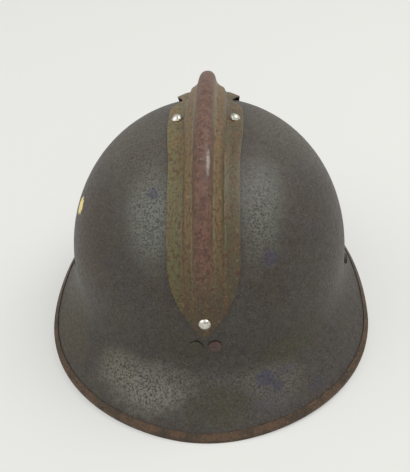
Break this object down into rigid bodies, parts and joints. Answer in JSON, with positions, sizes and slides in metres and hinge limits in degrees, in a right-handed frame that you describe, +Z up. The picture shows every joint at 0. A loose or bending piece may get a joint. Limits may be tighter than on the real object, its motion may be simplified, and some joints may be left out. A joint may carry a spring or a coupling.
{
  "type": "crested steel helmet",
  "caption": "Stamped steel combat helmet with riveted crest, flared brim, laced leather liner on corrugated spacers, and a swinging leather chin strap with slide.",
  "frame": {"origin": "on the table the helmet stands on, under the middle of the brim's outline", "axes": "+Y from the neck guard to the visor, +X to the wearer's right, +Z up"},
  "size_m": [0.2352, 0.2822, 0.1769],
  "materials": {
    "shell_paint": "worn matte textured paint",
    "edging_paint": "worn paint with rust",
    "crest_paint": "worn olive paint over red primer",
    "nickel": "dull nickel plate",
    "rivet_paint": "painted flat rivet",
    "bare_steel": "dull bare steel",
    "spacer_aluminium": "mill finish corrugated strip",
    "wool": "milled wool cloth",
    "liner_leather": "dark brown sheepskin",
    "lace_cord": "braided cotton lace",
    "strap_leather": "brown cowhide"
  },
  "bodies": {
    "helmet": {"shell": "shell_paint", "rim_edging": "edging_paint", "crest": "crest_paint", "crest_rivets": "nickel", "crest_washers": "bare_steel", "front_liner_clip": "bare_steel", "rear_liner_clip": "bare_steel", "left_liner_clip": "bare_steel", "right_liner_clip": "bare_steel", "clip_rivets": "rivet_paint", "front_spacer": "spacer_aluminium", "rear_spacer": "spacer_aluminium", "left_spacer": "spacer_aluminium", "right_spacer": "spacer_aluminium", "wool_band": "wool", "leather_liner": "liner_leather", "crown_lace": "lace_cord", "lace_knot": "lace_cord", "bail_rivets": "rivet_paint", "bail_washers": "bare_steel"},
    "left_bail": {"left_bracket": "bare_steel"},
    "right_bail": {"right_bracket": "bare_steel"},
    "left_loop": {"left_ring": "bare_steel"},
    "right_loop": {"right_ring": "bare_steel"},
    "strap": {"chin_strap": "strap_leather", "strap_rivet": "bare_steel"},
    "slide": {"strap_slide": "bare_steel"},
    "keeper": {"strap_keeper": "strap_leather"}
  },
  "joints": [
    {"name": "strap_swing", "type": "hinge", "parent": "helmet", "child": "left_bail", "pos_m": [0, -0.0009, 0.0417], "axis": [-1, 0, 0], "range_deg": [0, 110]},
    {"name": "right_bail_swing", "type": "hinge", "parent": "helmet", "child": "right_bail", "pos_m": [0, -0.0009, 0.0417], "axis": [-1, 0, 0], "range_deg": [0, 110]},
    {"name": "ring_sway", "type": "hinge", "parent": "left_bail", "child": "left_loop", "pos_m": [-0.08909, 0.00864, 0.03872], "axis": [0, 0.2982, 0.9545], "range_deg": [-10, 10]},
    {"name": "right_ring_sway", "type": "hinge", "parent": "right_bail", "child": "right_loop", "pos_m": [0.08909, 0.00864, 0.03872], "axis": [0, 0.2982, 0.9545], "range_deg": [-10, 10]},
    {"name": "strap_level", "type": "hinge", "parent": "left_loop", "child": "strap", "pos_m": [-0.08909, 0.02201, 0.03454], "axis": [0, 0.2982, 0.9545], "range_deg": [-10, 10]},
    {"name": "slide_travel", "type": "slide", "parent": "strap", "child": "slide", "axis": [-0.4226, 0.8651, -0.2703], "range_m": [-0.002, 0.01]},
    {"name": "keeper_travel", "type": "slide", "parent": "strap", "child": "keeper", "axis": [-0.4226, 0.8651, -0.2703], "range_m": [0, 0.008]}
  ],
  "couplings": [
    {"joint": "right_bail_swing", "follows": "strap_swing", "ratio": 1},
    {"joint": "right_ring_sway", "follows": "ring_sway", "ratio": 1},
    {"joint": "strap_level", "follows": "ring_sway", "ratio": -1}
  ]
}
